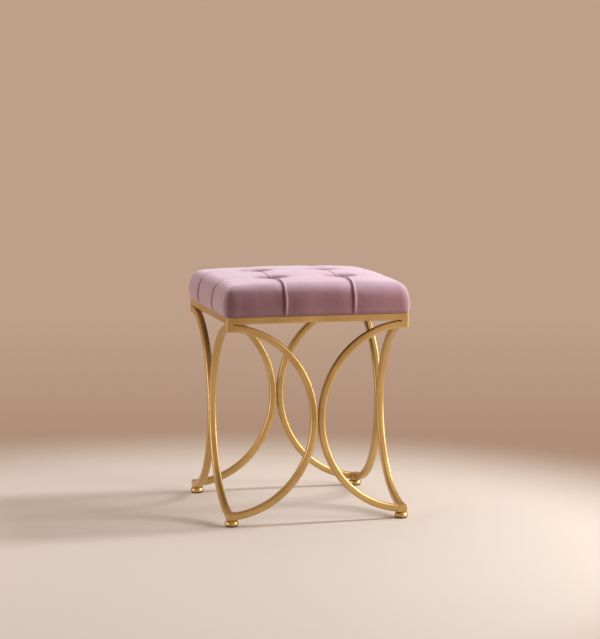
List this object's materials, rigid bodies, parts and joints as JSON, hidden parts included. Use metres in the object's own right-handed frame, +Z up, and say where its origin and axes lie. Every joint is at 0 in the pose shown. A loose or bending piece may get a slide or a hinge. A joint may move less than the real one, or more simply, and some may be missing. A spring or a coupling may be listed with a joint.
{
  "type": "accent stool",
  "caption": "Square accent stool with a tufted velvet cushion on a gold square-tube frame, its sides made of back-to-back C-shaped leg arcs on screw-in levelling glides.",
  "frame": {"origin": "on the floor, under the centre of the seat", "axes": "+Z up, the pictured front towards -Y, +X to the right of a person facing the front"},
  "size_m": [0.3672, 0.3672, 0.47],
  "materials": {
    "gold_frame": "satin",
    "gold_glide": "satin",
    "tab_steel": "satin",
    "zinc_steel": "satin",
    "nylon": "matte",
    "velvet": "matte",
    "button_velvet": "matte",
    "foam": "matte",
    "plywood": "matte",
    "dust_cloth": "matte",
    "twine": "matte",
    "anchor_plastic": "matte",
    "insert_brass": "satin"
  },
  "bodies": {
    "stool": {"top_rail_front": "gold_frame", "top_rail_right": "gold_frame", "top_rail_back": "gold_frame", "top_rail_left": "gold_frame", "corner_post_front_left": "gold_frame", "corner_post_front_right": "gold_frame", "corner_post_back_right": "gold_frame", "corner_post_back_left": "gold_frame", "leg_arc_front_left": "gold_frame", "leg_arc_front_right": "gold_frame", "leg_arc_right_front": "gold_frame", "leg_arc_right_back": "gold_frame", "leg_arc_back_right": "gold_frame", "leg_arc_back_left": "gold_frame", "leg_arc_left_back": "gold_frame", "leg_arc_left_front": "gold_frame", "foot_block_front_left": "gold_frame", "foot_block_front_right": "gold_frame", "foot_block_back_right": "gold_frame", "foot_block_back_left": "gold_frame", "centre_weld_front": "gold_frame", "centre_weld_right": "gold_frame", "centre_weld_back": "gold_frame", "centre_weld_left": "gold_frame", "seat_tab_front_left": "tab_steel", "seat_tab_front_right": "tab_steel", "seat_tab_back_right": "tab_steel", "seat_tab_back_left": "tab_steel", "seat_board": "plywood", "foam_pad": "foam", "velvet_cover": "velvet", "dust_cover": "dust_cloth", "tuft_buttons": "button_velvet", "tuft_ties": "twine", "tie_anchors": "anchor_plastic", "seat_screws": "zinc_steel", "insert_nuts": "insert_brass", "staples": "zinc_steel"},
    "pad_front_left": {"floor_pad_front_left": "nylon"},
    "glide_front_left": {"glide_bun_front_left": "gold_glide", "glide_stud_front_left": "zinc_steel"},
    "pad_front_right": {"floor_pad_front_right": "nylon"},
    "glide_front_right": {"glide_bun_front_right": "gold_glide", "glide_stud_front_right": "zinc_steel"},
    "pad_back_right": {"floor_pad_back_right": "nylon"},
    "glide_back_right": {"glide_bun_back_right": "gold_glide", "glide_stud_back_right": "zinc_steel"},
    "pad_back_left": {"floor_pad_back_left": "nylon"},
    "glide_back_left": {"glide_bun_back_left": "gold_glide", "glide_stud_back_left": "zinc_steel"}
  },
  "joints": [
    {"name": "pad_drop_front_left", "type": "slide", "parent": "stool", "child": "pad_front_left", "axis": [0, 0, -1], "range_m": [0, 0.0075]},
    {"name": "glide_turn_front_left", "type": "hinge", "parent": "pad_front_left", "child": "glide_front_left", "pos_m": [-0.17, -0.17, 0.006], "axis": [0, 0, -1], "range_deg": [0, 2160]},
    {"name": "pad_drop_front_right", "type": "slide", "parent": "stool", "child": "pad_front_right", "axis": [0, 0, -1], "range_m": [0, 0.0075]},
    {"name": "glide_turn_front_right", "type": "hinge", "parent": "pad_front_right", "child": "glide_front_right", "pos_m": [0.17, -0.17, 0.006], "axis": [0, 0, -1], "range_deg": [0, 2160]},
    {"name": "pad_drop_back_right", "type": "slide", "parent": "stool", "child": "pad_back_right", "axis": [0, 0, -1], "range_m": [0, 0.0075]},
    {"name": "glide_turn_back_right", "type": "hinge", "parent": "pad_back_right", "child": "glide_back_right", "pos_m": [0.17, 0.17, 0.006], "axis": [0, 0, -1], "range_deg": [0, 2160]},
    {"name": "pad_drop_back_left", "type": "slide", "parent": "stool", "child": "pad_back_left", "axis": [0, 0, -1], "range_m": [0, 0.0075]},
    {"name": "glide_turn_back_left", "type": "hinge", "parent": "pad_back_left", "child": "glide_back_left", "pos_m": [-0.17, 0.17, 0.006], "axis": [0, 0, -1], "range_deg": [0, 2160]}
  ],
  "couplings": [
    {"joint": "pad_drop_front_left", "follows": "glide_turn_front_left", "m_per_rad": 0.00019894},
    {"joint": "pad_drop_front_right", "follows": "glide_turn_front_right", "m_per_rad": 0.00019894},
    {"joint": "pad_drop_back_right", "follows": "glide_turn_back_right", "m_per_rad": 0.00019894},
    {"joint": "pad_drop_back_left", "follows": "glide_turn_back_left", "m_per_rad": 0.00019894}
  ]
}
